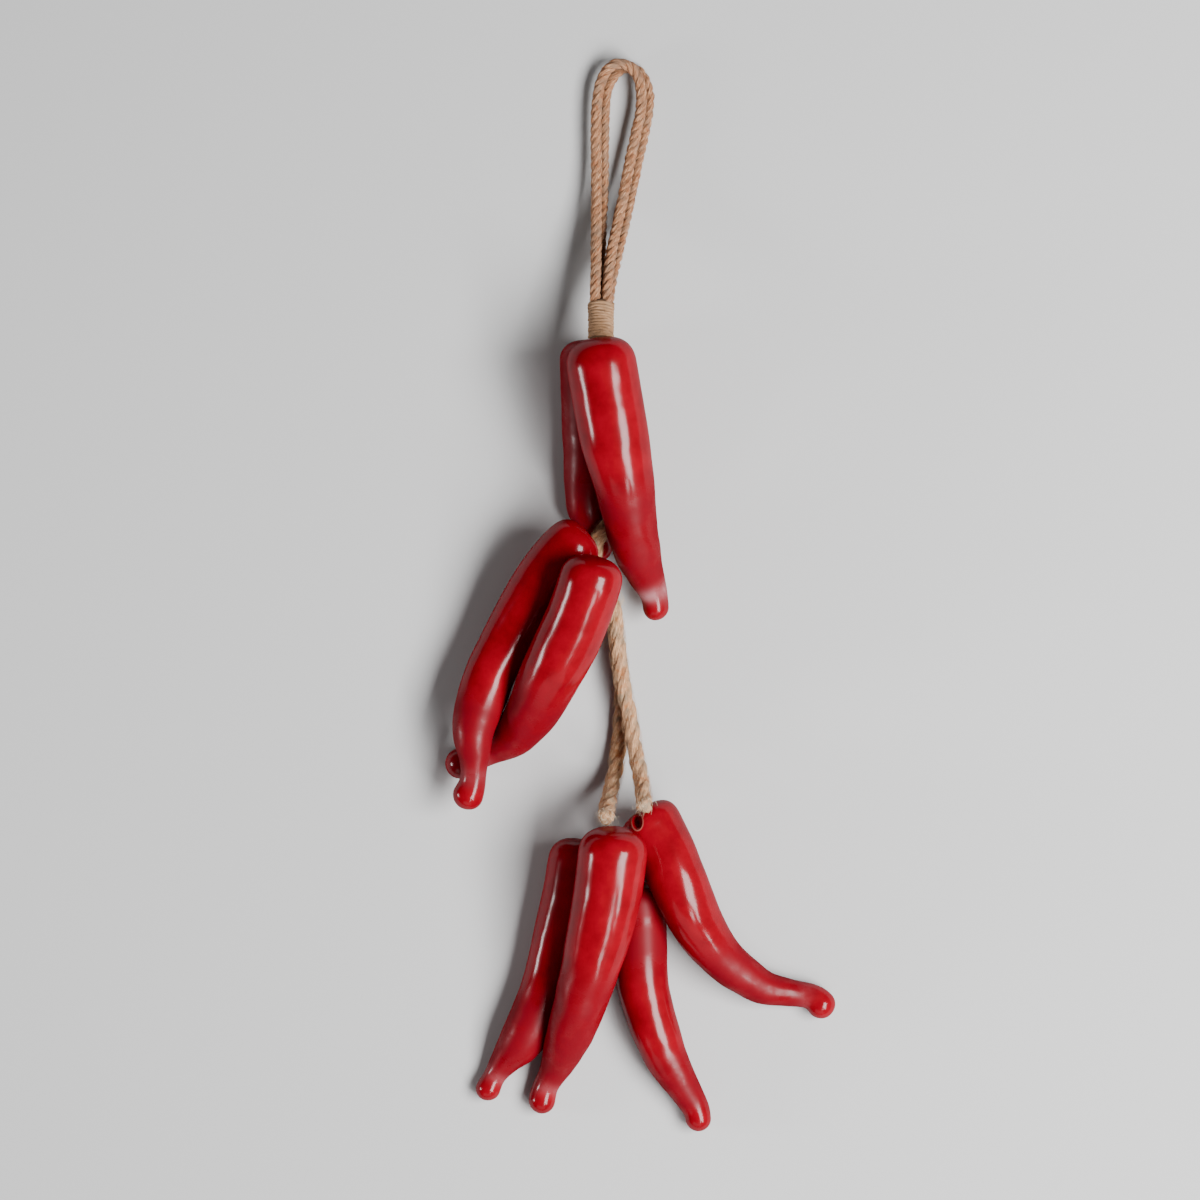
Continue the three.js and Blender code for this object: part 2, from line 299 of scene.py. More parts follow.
def jute_material(name, stops, rust, grey, groove, patchiness):
    """Dry jute yarn: matt, streaky along the strand, patchy, and darker down in the grooves."""
    material, tree, output = new_material(name)
    uv = add_node(tree, "ShaderNodeUVMap", uv_map="strand").outputs["UV"]
    # Streaks: single fibres, far longer than they are wide.
    stretched = add_node(
        tree,
        "ShaderNodeVectorMath",
        {0: uv, 1: (1 / FIBRE_WIDTH, 1 / FIBRE_LENGTH, 1.0)},
        operation="MULTIPLY",
    ).outputs["Vector"]
    streaks = noise_at(tree, stretched, 1.0, detail=4.0, roughness=0.65)
    fibres = add_ramp(tree, streaks, stops)
    # Patches: the retting leaves rust and grey along the yarn.
    place = add_node(tree, "ShaderNodeTexCoord").outputs["Object"]
    rusty = noise_at(tree, place, RUST_PATCH, detail=3.0)
    rusted = blend(
        tree, ease_between(tree, rusty, 0.5, 0.72, top=patchiness), fibres, linear(rust)
    )
    shifted = add_node(
        tree,
        "ShaderNodeVectorMath",
        {0: place, 1: PATCH_SHIFT},
        operation="ADD",
    ).outputs["Vector"]
    greyish = noise_at(tree, shifted, GREY_PATCH)
    greyed = blend(
        tree, ease_between(tree, greyish, 0.48, 0.7, top=patchiness), rusted, linear(grey)
    )
    flecks = noise_at(tree, shifted, FLECK_SIZE, detail=1.0)
    flecked = blend(
        tree, ease_between(tree, flecks, 0.66, 0.76, top=0.5), greyed, linear(groove)
    )
    # Grooves: little light gets between two strands, so they get a painted shade.
    depth = add_node(tree, "ShaderNodeAttribute", attribute_name="outward").outputs["Fac"]
    exposed = ease_between(tree, depth, 0.45, 0.95, bottom=0.25)
    shaded = blend(tree, exposed, linear(groove), flecked)
    # Loose ends are bleached and dusty.
    loose = add_node(tree, "ShaderNodeAttribute", attribute_name="bleach").outputs["Fac"]
    finished = blend(tree, loose, shaded, linear(BLEACHED))
    relief = add_node(
        tree,
        "ShaderNodeBump",
        {"Strength": 0.9, "Distance": 0.25 * MM, "Height": streaks},
    ).outputs["Normal"]
    shader = add_node(
        tree,
        "ShaderNodeBsdfPrincipled",
        {
            "Base Color": finished,
            "Roughness": 0.92,
            "IOR": FIBRE_IOR,
            "Specular IOR Level": 0.2,
            "Sheen Weight": 0.05,
            "Sheen Roughness": 0.5,
            "Normal": relief,
        },
    )
    tree.links.new(shader.outputs["BSDF"], output.inputs["Surface"])
    return material


print("jute fibres are drawn", FIBRE_WIDTH / MM, "mm wide and", FIBRE_LENGTH / MM, "mm long")

# %% The three jutes
# The loop cord is tightly laid and a little browner, from being handled.
jute_cord = jute_material(
    "jute cord",
    [(0.32, "#5f3d26"), (0.45, "#8a5d41"), (0.57, "#a67b5b"), (0.7, "#cfa98a")],
    rust="#824a2b", grey="#7e6653", groove="#43250f", patchiness=0.7,
)
# The ropes are loose and patchy: straw, rust and grey.
jute_rope = jute_material(
    "jute rope",
    [(0.32, "#7e5c3e"), (0.45, "#a57d5a"), (0.57, "#bb9372"), (0.7, "#d4b495")],
    rust="#a8683a", grey="#8b7963", groove="#7a5636", patchiness=0.85,
)
# The twine of the whipping is finer, greyer and more even.
jute_twine = jute_material(
    "jute twine",
    [(0.3, "#785a3d"), (0.48, "#916e50"), (0.62, "#a28063"), (0.8, "#b49579")],
    rust="#8a6340", grey="#8a735b", groove="#402817", patchiness=0.4,
)
print("jute materials:", jute_cord.name, jute_rope.name, jute_twine.name)

# %% [markdown]
# ## Laying a rope
#
# A rope is three strands that wind round each other. Each strand follows a helix about the rope's
# centre line, and its section is lobed because it is itself spun from several yarns. A curve with
# a bevel gives one smooth tube only, so the strands are swept here ring by ring. The lay is
# right-handed: on the near side the strands climb from lower left to upper right.
#
# How far the strands press into each other decides the look. A hard rope has slim strands and deep
# grooves; in a soft one they are so full that the grooves are shallow.

# %% Bundle of tubes
CONTACT_SHADE = 0.6  # how much darker it gets where two cords touch


class Bundle:
    """Collects the tubes of one piece, with the UVs and attributes that the jute needs."""

    def __init__(self):
        self.vertices = []
        self.faces = []
        self.uvs = []
        self.outward = []
        self.bleach = []
        self.count = 0

    def add(self, rings, uvs, outward, bleach=0.0):
        """Adds one tube. Outward is 0 on the rope's axis and 1 outside; bleach is 0 to 1."""
        vertices, faces = skin(rings)
        self.faces.extend([[index + self.count for index in face] for face in faces])
        self.vertices.append(vertices)
        self.uvs.append(uvs.reshape(-1, 2))
        self.outward.append(np.array(outward, dtype=float).reshape(-1))
        self.bleach.append(np.broadcast_to(bleach, outward.shape).reshape(-1))
        self.count += len(vertices)

    def shade_near(self, other_line, other_radius, reach):
        """Darkens what lies within reach of another cord, where hardly any light gets in."""
        tree = kdtree.KDTree(len(other_line))
        for index, point in enumerate(other_line):
            tree.insert(point, index)
        tree.balance()
        for vertices, outward in zip(self.vertices, self.outward):
            apart = np.array([tree.find(vertex)[2] for vertex in vertices]) - other_radius
            outward *= 1 - CONTACT_SHADE * np.clip(1 - apart / reach, 0, 1)

    def build(self, name, material):
        """Makes one object of all tubes added so far."""
        return mesh_object(
            name,
            np.vstack(self.vertices),
            self.faces,
            material,
            uvs=np.vstack(self.uvs),
            attributes={
                "outward": np.concatenate(self.outward),
                "bleach": np.concatenate(self.bleach),
            },
        )


print("where two cords touch, their colour keeps", 1 - CONTACT_SHADE, "of its exposure")

# %% One strand
YARN_RELIEF = 0.08  # depth of the valleys between the yarns, as a share of the strand's radius
FIBRE_RELIEF = 0.13  # unevenness of the fibres, likewise
FIBRE_BUMP = 2.4 * MM  # length of one bump of the fibres
FIBRE_BUMPS_ROUND = 2.6  # radius of the circle that the noise is read on, in bumps


def add_strand(bundle, line, centre_line, radius, full, phase, sides, yarns, yarn_lay):
    """Sweeps one strand of spun yarns along line, in a rope of radius full round centre_line."""
    normals, crossings = carried_frame(line)
    along = distances_along(line)
    turns = np.arange(sides) * (2 * math.pi / sides)
    lobes = np.cos(yarns * turns[None, :] + 2 * math.pi * along[:, None] / yarn_lay + phase)
    fibres = np.array([
        [
            noise.noise(Vector((x * FIBRE_BUMPS_ROUND + phase, y * FIBRE_BUMPS_ROUND, z)))
            for x, y in zip(np.cos(turns), np.sin(turns))
        ]
        for z in along / FIBRE_BUMP
    ])
    girth = radius * (1 + YARN_RELIEF * lobes + FIBRE_RELIEF * fibres)
    around = (
        normals[:, None, :] * np.cos(turns)[None, :, None]
        + crossings[:, None, :] * np.sin(turns)[None, :, None]
    )
    rings = line[:, None, :] + around * girth[..., None]
    uvs = np.stack(
        [
            np.broadcast_to(turns[None, :] * radius + phase, girth.shape),
            np.broadcast_to(along[:, None], girth.shape),
        ],
        axis=-1,
    )
    outward = np.linalg.norm(rings - centre_line[:, None, :], axis=2) / full
    outward[[0, 1, -2, -1]] = 1.0  # a cut end is as pale as the outside
    bundle.add(rings, uvs, outward)


print("yarns stand out by", YARN_RELIEF, "of the strand's radius")

# %% Laid rope
YARN_LAY = 2.2  # in rope diameters
STRANDS_EDGE = 0.49  # how far out the strands reach, in rope diameters
WANDER_BUMPS = 60  # a metre
SWELL_BUMPS = 110  # a metre
FULL_WANDER = 6  # radians, at a looseness of 1
FULL_SWELL = 4  # share of the helix's radius, likewise


def lay_rope(bundle, line, diameter, lay, seed, fullness, looseness, sides=26, strands=3):
    """Lays right-handed strands round line. Each strand wanders a little, as loose rope does."""
    normals, crossings = carried_frame(line)
    along = distances_along(line)
    rng = random.Random(seed)
    radius = diameter * fullness
    helix = diameter * (STRANDS_EDGE - fullness)
    for k in range(strands):
        drift = [rng.uniform(0, 100) for _ in range(2)]
        wander = np.array([noise.noise(Vector((s * WANDER_BUMPS, drift[0], 0))) for s in along])
        swell = np.array([noise.noise(Vector((s * SWELL_BUMPS, drift[1], 9))) for s in along])
        turn = 2 * math.pi * (k / strands + along / lay) + wander * looseness * FULL_WANDER
        out = helix * (1 + FULL_SWELL * swell * looseness)
        centre = line + (
            normals * np.cos(turn)[:, None] + crossings * np.sin(turn)[:, None]
        ) * out[:, None]
        add_strand(
            bundle, centre, line, radius, diameter / 2, drift[0], sides,
            yarns=6, yarn_lay=-YARN_LAY * diameter,
        )


print("yarns in a strand turn once in", YARN_LAY, "rope diameters")

# %% [markdown]
# ## Loose fibres
#
# Fibres stand off every jute rope and blur its outline. Each is a hair-thin tube that leaves the
# surface, bows and comes back down. Blender's hair would do this too, but the piece has to be one
# plain mesh. There are over a thousand on each rope, so they are worked out together, as arrays,
# rather than one after another.
#
# A cut or frayed end needs a second kind: a tuft, whose fibres share a root and curl away from it.

# %% Hair-thin tubes
HAIR_STEPS = 7
HAIR_SIDES = 3
HAIR_TIP = 0.4  # thickness at the tip, as a share of that at the root
HAIR_STREAK = 6 * MM  # how much of the jute's streaks one hair shows
HAIR_STREAK_STEP = 13.7 * MM  # how far apart two hairs take theirs
SIDEWAYS = np.array([0.31, 0.57, 0.76])  # a direction that no hair follows


def add_tubes(bundle, paths, thickness, bleach):
    """Adds hair-thin tubes along paths, shaped (hairs, steps, 3)."""
    tangents = np.gradient(paths, axis=1)
    tangents /= np.linalg.norm(tangents, axis=2, keepdims=True) + 1e-12
    first = np.cross(tangents, SIDEWAYS)
    first /= np.linalg.norm(first, axis=2, keepdims=True) + 1e-12
    second = np.cross(tangents, first)
    steps = paths.shape[1]
    taper = np.linspace(1.0, HAIR_TIP, steps)[None, :, None, None] * thickness / 2
    turns = np.arange(HAIR_SIDES) * (2 * math.pi / HAIR_SIDES)
    around = (
        first[:, :, None, :] * np.cos(turns)[None, None, :, None]
        + second[:, :, None, :] * np.sin(turns)[None, None, :, None]
    )
    rings = paths[:, :, None, :] + around * taper
    lengths = np.linspace(0, HAIR_STREAK, steps)
    for k, tube in enumerate(rings):
        uvs = np.zeros((steps, HAIR_SIDES, 2))
        uvs[..., 0] = HAIR_STREAK_STEP * k
        uvs[..., 1] = lengths[:, None]
        bundle.add(tube, uvs, np.ones((steps, HAIR_SIDES)), bleach)


print("a hair has", HAIR_STEPS * HAIR_SIDES, "vertices")

# %% Fuzz along a rope
FUZZ_ROOT = 0.93  # where a fibre leaves the rope, as a share of its radius
FUZZ_BOW = 2.3  # radians of a sine wave that a fibre rises and falls by


def add_fuzz(bundle, seed, line, radius, count, longest, highest, thickness, bleach=0.12):
    """Scatters loose fibres over a rope's surface."""
    rng = np.random.default_rng(seed)
    normals, crossings = carried_frame(line)
    step = distances_along(line)[-1] / (len(line) - 1)
    start = rng.uniform(0, len(line) - 1, count)
    length = longest * rng.uniform(0.3, 1.0, count) ** 1.5 * rng.choice([-1, 1], count)
    rise = highest * rng.uniform(0.1, 1.0, count) ** 2
    turn = rng.uniform(0, 2 * math.pi, count)
    sway = rng.uniform(-1.1, 1.1, count)
    share = np.linspace(0, 1, HAIR_STEPS)[None, :]
    at = np.clip(start[:, None] + length[:, None] / step * share, 0, len(line) - 1.001)
    whole = at.astype(int)
    part = (at - whole)[..., None]
    centre = line[whole] * (1 - part) + line[whole + 1] * part
    angle = (turn[:, None] + sway[:, None] * share)[..., None]
    out = normals[whole] * np.cos(angle) + crossings[whole] * np.sin(angle)
    height = radius * FUZZ_ROOT + rise[:, None] * np.sin(share * FUZZ_BOW)
    paths = centre + out * height[..., None]
    paths[..., 2] = np.maximum(paths[..., 2], thickness)
    add_tubes(bundle, paths, thickness, bleach)


print("a fibre leaves the rope at", FUZZ_ROOT, "of its radius")

# %% Tufts at frayed ends
TUFT_LIMIT = 6.8 * MM  # a tuft belongs to its rope, so it stays near it


def held_near(paths, line, limit):
    """Pulls points that lie further than limit from the line back to that distance."""
    apart = paths[:, :, None, :] - line[None, None, :, :]
    nearest = np.argmin(np.linalg.norm(apart, axis=3), axis=2)
    centre = line[nearest]
    away = paths - centre
    distance = np.linalg.norm(away, axis=2, keepdims=True)
    return centre + away * np.minimum(1, limit / distance)


def add_tuft(
    bundle, seed, line, root, heading, count, length, width, spread, curl, thickness, bleach
):
    """Adds fibres that start within width of root, head the same way and curl apart."""
    rng = np.random.default_rng(seed)
    heading = np.array(heading) / np.linalg.norm(heading)
    starts = np.array(root) * MM + rng.normal(0, width / 2, (count, 3))
    ways = heading[None, :] + rng.normal(0, spread, (count, 3))
    ways /= np.linalg.norm(ways, axis=1, keepdims=True)
    bends = rng.normal(0, curl, (count, 3))
    reach = length * rng.uniform(0.35, 1.0, count)
    share = np.linspace(0, 1, HAIR_STEPS)[None, :, None]
    paths = starts[:, None, :] + reach[:, None, None] * (
        ways[:, None, :] * share + bends[:, None, :] * share**2
    )
    paths = held_near(paths, line, TUFT_LIMIT)
    paths[..., 2] = np.maximum(paths[..., 2], thickness)
    add_tubes(bundle, paths, thickness, bleach)


print("a tuft stays within", TUFT_LIMIT / MM, "mm of its rope's centre line")

# %% [markdown]
# ## The hanging loop
#
# The loop is one cord laid double. The upper turn rests on the under turn, and both come down on
# the table. One turn could be copied for the other, but real ones never lie quite alike, so each
# has a route of its own. Where two cords touch, hardly any light gets in, so the seam between them
# is darkened a little further than the lamps alone would.

# %% Cord helpers
def rope_line(route, step):
    """Evenly spaced centre line of a route given in millimetres."""
    line = spline_points(np.array(route) * MM)
    return evenly(line, max(8, round(distances_along(line)[-1] / step)))


def with_ends(line, before, after):
    """The line with straight extra lengths at its start and at its end."""
    step = np.linalg.norm(line[1] - line[0])
    front = [line[0] + (line[0] - line[1]) * k for k in range(round(before / step), 0, -1)]
    back = [line[-1] + (line[-1] - line[-2]) * k for k in range(1, round(after / step) + 1)]
    return np.array(front + list(line) + back)


def declare_cord(line):
    """Works out the length of the line and does nothing with it."""
    float(distances_along(line)[-1])


def length_in_mm(line):
    """Length of a line for a printed message."""
    return round(distances_along(line)[-1] / MM)


print("cord helpers ready")

# %% Hanging loop
LOOP_CORD = 5.6 * MM
LOOP_LAY = 13.5 * MM
LOOP_STEP = 0.5 * MM
BOUND_IN = 3 * MM  # the whipping hides this much of each end
LOOP_UPPER = [
    (-22.9, 209, 27.8), (-22.8, 216.5, 25.8), (-22.5, 228.2, 21.6), (-22.4, 242.1, 16.6),
    (-22.2, 260.1, 11.3), (-22.3, 278, 9), (-22.5, 295.6, 8.6), (-22, 308.3, 8.6),
    (-20.2, 319.2, 8.6), (-16.4, 326.2, 8.6), (-11.5, 329, 8.6), (-6, 327.7, 8.6), (-1.4, 322.5, 8.6),
    (0.3, 314.4, 8.6), (0.1, 305.7, 8.6), (-2.2, 294.6, 8.6), (-5.5, 279.5, 9), (-8.4, 263.7, 10.8),
    (-11.7, 248.3, 14.4), (-14.5, 234.4, 19.2), (-16.3, 221.5, 24.2), (-17, 209, 27.8),
]
LOOP_UNDER = [
    (-22.5, 207.8, 22.1), (-20.7, 216.8, 19.3), (-20.1, 228.7, 15.2), (-20, 242.6, 10.6),
    (-19.1, 260.6, 5.4), (-18.7, 278.5, 3.1), (-18.4, 296.2, 2.8), (-18, 308.8, 2.8),
    (-16.6, 317.3, 2.8), (-12.8, 324.4, 2.8), (-7.6, 327.6, 2.8), (-2, 326.4, 2.8), (2.1, 320.9, 2.8),
    (4.1, 312.9, 2.8), (3.6, 305.3, 2.8), (1.8, 295.2, 2.8), (-1.5, 280, 3.2), (-4.7, 264.3, 4.9),
    (-8, 248.8, 8.6), (-11.2, 234.9, 13.1), (-14.2, 222, 17.8), (-16.5, 207.8, 22.1),
]

for name, route, other_route, seed in (
    ("loop_cord_upper", LOOP_UPPER, LOOP_UNDER, 11),
    ("loop_cord_under", LOOP_UNDER, LOOP_UPPER, 12),
):
    line = rope_line(route, LOOP_STEP)
    whole_line = with_ends(line, BOUND_IN, BOUND_IN)
    bundle = Bundle()
    lay_rope(bundle, whole_line, LOOP_CORD, LOOP_LAY, seed, fullness=0.295, looseness=0.04)
    bundle.shade_near(rope_line(other_route, LOOP_STEP), LOOP_CORD / 2, reach=3.5 * MM)
    add_fuzz(
        bundle, seed, line, LOOP_CORD / 2,
        count=1500, longest=5 * MM, highest=0.8 * MM, thickness=0.07 * MM,
    )
    piece = bundle.build(name + "_strands", jute_cord)
    hand_over(piece, name)
    declare_cord(line)
    print(name, "is", length_in_mm(line), "mm long")

# %% [markdown]
# ## The ropes
#
# The main rope runs from the whipping, past the back chilli and under the middle bunch, to the
# crown of the right-hand chilli at the foot. The side rope is hitched under it. Both are softer
# and more loosely laid than the loop, and both shed fibres where they are cut and where they are
# hitched. A straight rope bent by a modifier would do for them, but its strands would stretch in
# the bends; laid along the bent line, they keep their girth and their lay.

# %% Routes and tufts of the ropes
ROPE = 8.0 * MM
ROPE_LAY = 31 * MM
ROPE_STEP = 0.6 * MM
MAIN_ROPE = [
    (-20, 189.3, 29.5), (-19.8, 187.3, 29.9), (-18.2, 184.6, 29.5), (-14.9, 180.6, 28.1),
    (-11.3, 174, 25.8), (-9.4, 165, 23.6), (-8, 150, 19), (-6.5, 132, 13), (-7.5, 118, 9),
    (-9.8, 107, 9.8), (-13, 99.9, 13.5), (-17.6, 95, 16.3), (-21.8, 89.5, 17), (-23.3, 83.5, 16),
    (-22.6, 75, 14.4), (-19.2, 67, 13), (-15, 58.5, 12.6), (-12.9, 50, 12.8), (-11.9, 40, 12.8),
    (-10.9, 30, 12.8), (-9, 17, 12.8), (-6, 2, 12.6), (-3.9, -10, 14.5), (-1.9, -21, 19.5),
    (0, -30, 25.5), (1, -36.6, 31.5), (1.4, -40.5, 36), (1.4, -44, 40.8),
]
SIDE_ROPE = [
    (-16.5, 60, 4.2), (-13.2, 46, 4.2), (-11.3, 32, 4.2), (-9.6, 16, 4.2), (-9.7, 2, 4.2),
    (-11, -14, 4.6), (-12.6, -26, 7), (-14.7, -35, 13), (-16.2, -41.5, 22), (-17.3, -45.5, 32),
    (-17.3, -47.6, 39.5), (-17.3, -49.2, 44.3),
]
ROPE_SEEDS = {"rope_main": 21, "rope_side": 22}
ROPE_HAIRS = {"rope_main": 3000, "rope_side": 1400}
TUFT_HAIR = 0.12 * MM
# The first tuft of each rope is its cut end, the second one is where it is hitched.
TUFTS = {
    "rope_main": [
        dict(root=(1.6, -42.5, 44), heading=(0.1, -1, 0.2), count=60, length=3 * MM,
             width=5 * MM, spread=0.5, curl=0.35, bleach=0.9),
        dict(root=(-10.2, 56, 13), heading=(0.35, 1, 0.25), count=26, length=9 * MM,
             width=2.4 * MM, spread=0.22, curl=0.25, bleach=0.6),
    ],
    "rope_side": [
        dict(root=(-18.2, -48.2, 47), heading=(-0.15, -1, 0.1), count=70, length=3.4 * MM,
             width=5 * MM, spread=0.5, curl=0.35, bleach=1.0),
        dict(root=(-14.6, 41, 6.5), heading=(-0.3, -1, 0.1), count=22, length=12 * MM,
             width=1.8 * MM, spread=0.16, curl=0.3, bleach=0.15),
    ],
}
print("tufts:", {name: len(tufts) for name, tufts in TUFTS.items()})

# %% Main rope and side rope
for name, route in (("rope_main", MAIN_ROPE), ("rope_side", SIDE_ROPE)):
    seed = ROPE_SEEDS[name]
    line = rope_line(route, ROPE_STEP)
    bundle = Bundle()
    lay_rope(bundle, line, ROPE, ROPE_LAY, seed, fullness=0.315, looseness=0.08)
    add_fuzz(
        bundle, seed, line, ROPE / 2,
        count=ROPE_HAIRS[name], longest=9 * MM, highest=1.3 * MM, thickness=0.1 * MM,
    )
    for number, tuft in enumerate(TUFTS[name]):
        add_tuft(bundle, seed * 10 + number, line, thickness=TUFT_HAIR, **tuft)
    piece = bundle.build(name + "_strands", jute_rope)
    hand_over(piece, name)
    declare_cord(line)
    print(name, "is", length_in_mm(line), "mm long")

# %% [markdown]
# ## The whipping
#
# A whipping is twine wound tightly round a rope's end. It is one long coil, so it is made as one:
# a helix round an oval core. Real turns don't lie quite parallel, so slow noise moves them up and
# down a little and opens a dark gap here and there. A stack of rings would look alike from afar,
# but its turns would not climb.

# %% Path of the twine
WHIPPING_FOOT = np.array((-20, 190, 29.4)) * MM
WHIPPING_HEAD = np.array((-20, 207.7, 25)) * MM
WHIPPING_WIDTH = 13 * MM
WHIPPING_DEPTH = 14 * MM
WHIPPING_TURNS = 12
WHIPPING_TUCK = 1.3 * MM  # how far the last turn is pushed down between the two crowns
TWINE = 1.6 * MM
TWINE_WANDER = 0.3  # how far a turn strays along the whipping, in twine widths
TWINE_EASE = 0.05  # how far it stands off or digs in, as a share of the whipping's half width
LOOSE_TURNS = 2  # the last turns sit over the others
COIL_STEPS = 90  # in one turn
COIL_STEP = 0.5 * MM
STRAY_ROUND = 1.2  # radius of the circle that the noise is read on, in its bumps
STRAY_CLIMB = 0.9  # bumps from turn to turn
EASE_SHIFT = Vector((7, 3, 1))  # reads the noise elsewhere for the ease than for the stray

axis = WHIPPING_HEAD - WHIPPING_FOOT
axis_length = np.linalg.norm(axis) + WHIPPING_TUCK
axis = axis / np.linalg.norm(axis)
across = np.array((1.0, 0.0, 0.0))
upward = np.cross(across, axis)
foot = WHIPPING_FOOT - axis * WHIPPING_TUCK
half_width = WHIPPING_WIDTH / 2 - TWINE / 2
half_depth = WHIPPING_DEPTH / 2 - TWINE / 2
coil = []
steps = WHIPPING_TURNS * COIL_STEPS
for step in range(steps + 1):
    turn = 2 * math.pi * step / COIL_STEPS
    spot = Vector((
        math.cos(turn) * STRAY_ROUND,
        math.sin(turn) * STRAY_ROUND,
        step / COIL_STEPS * STRAY_CLIMB,
    ))
    climb = TWINE / 2 + (axis_length - TWINE) * step / steps
    climb += TWINE * TWINE_WANDER * noise.noise(spot)
    girth = 1 + TWINE_EASE * noise.noise(spot + EASE_SHIFT)
    if step > steps - LOOSE_TURNS * COIL_STEPS:
        girth += TWINE_EASE
    coil.append(
        foot
        + axis * climb
        + across * half_width * girth * math.cos(turn)
        + upward * half_depth * girth * math.sin(turn)
    )
coil = np.array(coil)
coil = evenly(coil, round(distances_along(coil)[-1] / COIL_STEP))
print("whipping: twine of", length_in_mm(coil), "mm in", WHIPPING_TURNS, "turns")

# %% Twine and core
TWINE_RADIUS = 0.52 * TWINE  # a little over half, so that two turns touch
CORE_INSET = 0.62 * TWINE  # from the outside of the whipping
CORE_SIDES = 24
CORE_STEPS = 4
CORE_EXPOSURE = 0.4  # painted shade: coloured as dark as a shaded groove

bundle = Bundle()
add_strand(
    bundle, coil, coil, TWINE_RADIUS, full=TWINE_RADIUS, phase=1.7, sides=14, yarns=2,
    yarn_lay=-6 * MM,
)
add_fuzz(
    bundle, 31, coil, TWINE / 2,
    count=260, longest=3 * MM, highest=0.4 * MM, thickness=0.05 * MM,
)
# The core fills the middle, so that nothing shows through between two turns; its dark colour is
# painted shade in those gaps.
core_line = evenly(np.array([foot, WHIPPING_HEAD]), CORE_STEPS)
turns = np.arange(CORE_SIDES) * (2 * math.pi / CORE_SIDES)
core_ring = (
    across[None, :] * np.cos(turns)[:, None] * (WHIPPING_WIDTH / 2 - CORE_INSET)
    + upward[None, :] * np.sin(turns)[:, None] * (WHIPPING_DEPTH / 2 - CORE_INSET)
)
core = core_line[:, None, :] + core_ring[None, :, :]
shape = (CORE_STEPS + 1, CORE_SIDES)
bundle.add(core, np.zeros((*shape, 2)), np.full(shape, CORE_EXPOSURE))
whipping = bundle.build("whipping_twine", jute_twine)
hand_over(whipping, "whipping")
print("the whipping has", len(whipping.data.vertices), "vertices")

# %% [markdown]
# ## Glaze
#
# The chillies are earthenware under a thick red glaze. Two layers make that: a matt coloured body
# gives the red, and a clear coat over it gives the highlights. A high index of refraction makes
# the coat mirror a lamp strongly even face-on, and a low weight keeps the flanks, which mirror the
# pale table at a low angle, from turning pink. The glaze pools a little, so its red drifts from
# maroon to crimson.
#
# Hands have dulled it, mostly in the lower halves. Each chilli's mesh carries an attribute "worn",
# and where it is high the red is darker and the coat rougher and thinner. Two more attributes mark
# a painted pale reflection in the necks, which face the bright table beyond, and the pale rim of the
# rope hole, where the buff clay is bare and a painted highlight lies.
# Attributes suit this better than noise alone, because each patch has its place.

# %% Glaze material
BODY_IOR = 1.5
GLAZE_IOR = 1.8  # a lead-rich glaze
PEEL_SIZE = 1.6 * MM  # ripples of the glaze
PEEL_DEPTH = 0.03 * MM
POOL_SIZE = 12 * MM  # patches where it ran thicker
POOLED_REDS = [(0.3, "#6c000e"), (0.5, "#790011"), (0.7, "#830115")]
WORN_RED = "#6a0614"
# Painted reflection: the pale table mirrored in the necks.
NECK_REFLECTION_PINK = "#b08488"
# The hole's pale rim: bare clay, and a painted highlight on that rim.
RIM_CLAY_AND_HIGHLIGHT = "#8f5a4e"


def glaze_material():
    """Thick red glaze on buff clay."""
    material, tree, output = new_material("red glaze")
    place = add_node(tree, "ShaderNodeTexCoord").outputs["Object"]
    pooled = noise_at(tree, place, POOL_SIZE, detail=4.0, roughness=0.6)
    deep = add_ramp(tree, pooled, POOLED_REDS)
    worn = add_node(tree, "ShaderNodeAttribute", attribute_name="worn").outputs["Fac"]
    patchy = add_node(
        tree,
        "ShaderNodeMath",
        {0: worn, 1: ease_between(tree, pooled, 0.35, 0.6, bottom=0.45)},
        operation="MULTIPLY",
    ).outputs["Value"]
    handled = blend(tree, patchy, deep, linear(WORN_RED))
    # Painted reflection: the necks face the bright table, which shows in them as a pale band.
    neck_reflection = add_node(tree, "ShaderNodeAttribute", attribute_name="neck_reflection").outputs["Fac"]
    reflected_pale = add_node(
        tree,
        "ShaderNodeMath",
        {0: neck_reflection, 1: ease_between(tree, pooled, 0.35, 0.55, bottom=0.5)},
        operation="MULTIPLY",
    ).outputs["Value"]
    colour = blend(tree, reflected_pale, handled, linear(NECK_REFLECTION_PINK))
    # The pale rim of the rope hole: bare clay and a painted highlight.
    pale_rim = add_node(tree, "ShaderNodeAttribute", attribute_name="pale_rim").outputs["Fac"]
    finish = blend(tree, pale_rim, colour, linear(RIM_CLAY_AND_HIGHLIGHT))
    peel = noise_at(tree, place, PEEL_SIZE)
    relief = add_node(
        tree,
        "ShaderNodeBump",
        {"Strength": 0.3, "Distance": PEEL_DEPTH, "Height": peel},
    ).outputs["Normal"]
    shader = add_node(
        tree,
        "ShaderNodeBsdfPrincipled",
        {
            "Base Color": finish,
            "Roughness": 0.6,
            "IOR": BODY_IOR,
            "Specular IOR Level": 0.0,
            "Coat Weight": ease_between(tree, patchy, 0.0, 1.0, bottom=0.24, top=0.09),
            "Coat Roughness": ease_between(tree, patchy, 0.0, 1.0, bottom=0.17, top=0.4),
            "Coat IOR": GLAZE_IOR,
            "Normal": relief,
            "Coat Normal": relief,
        },
    )
    tree.links.new(shader.outputs["BSDF"], output.inputs["Surface"])
    return material


glaze = glaze_material()
print(glaze.name, "has", len(glaze.node_tree.nodes), "nodes")
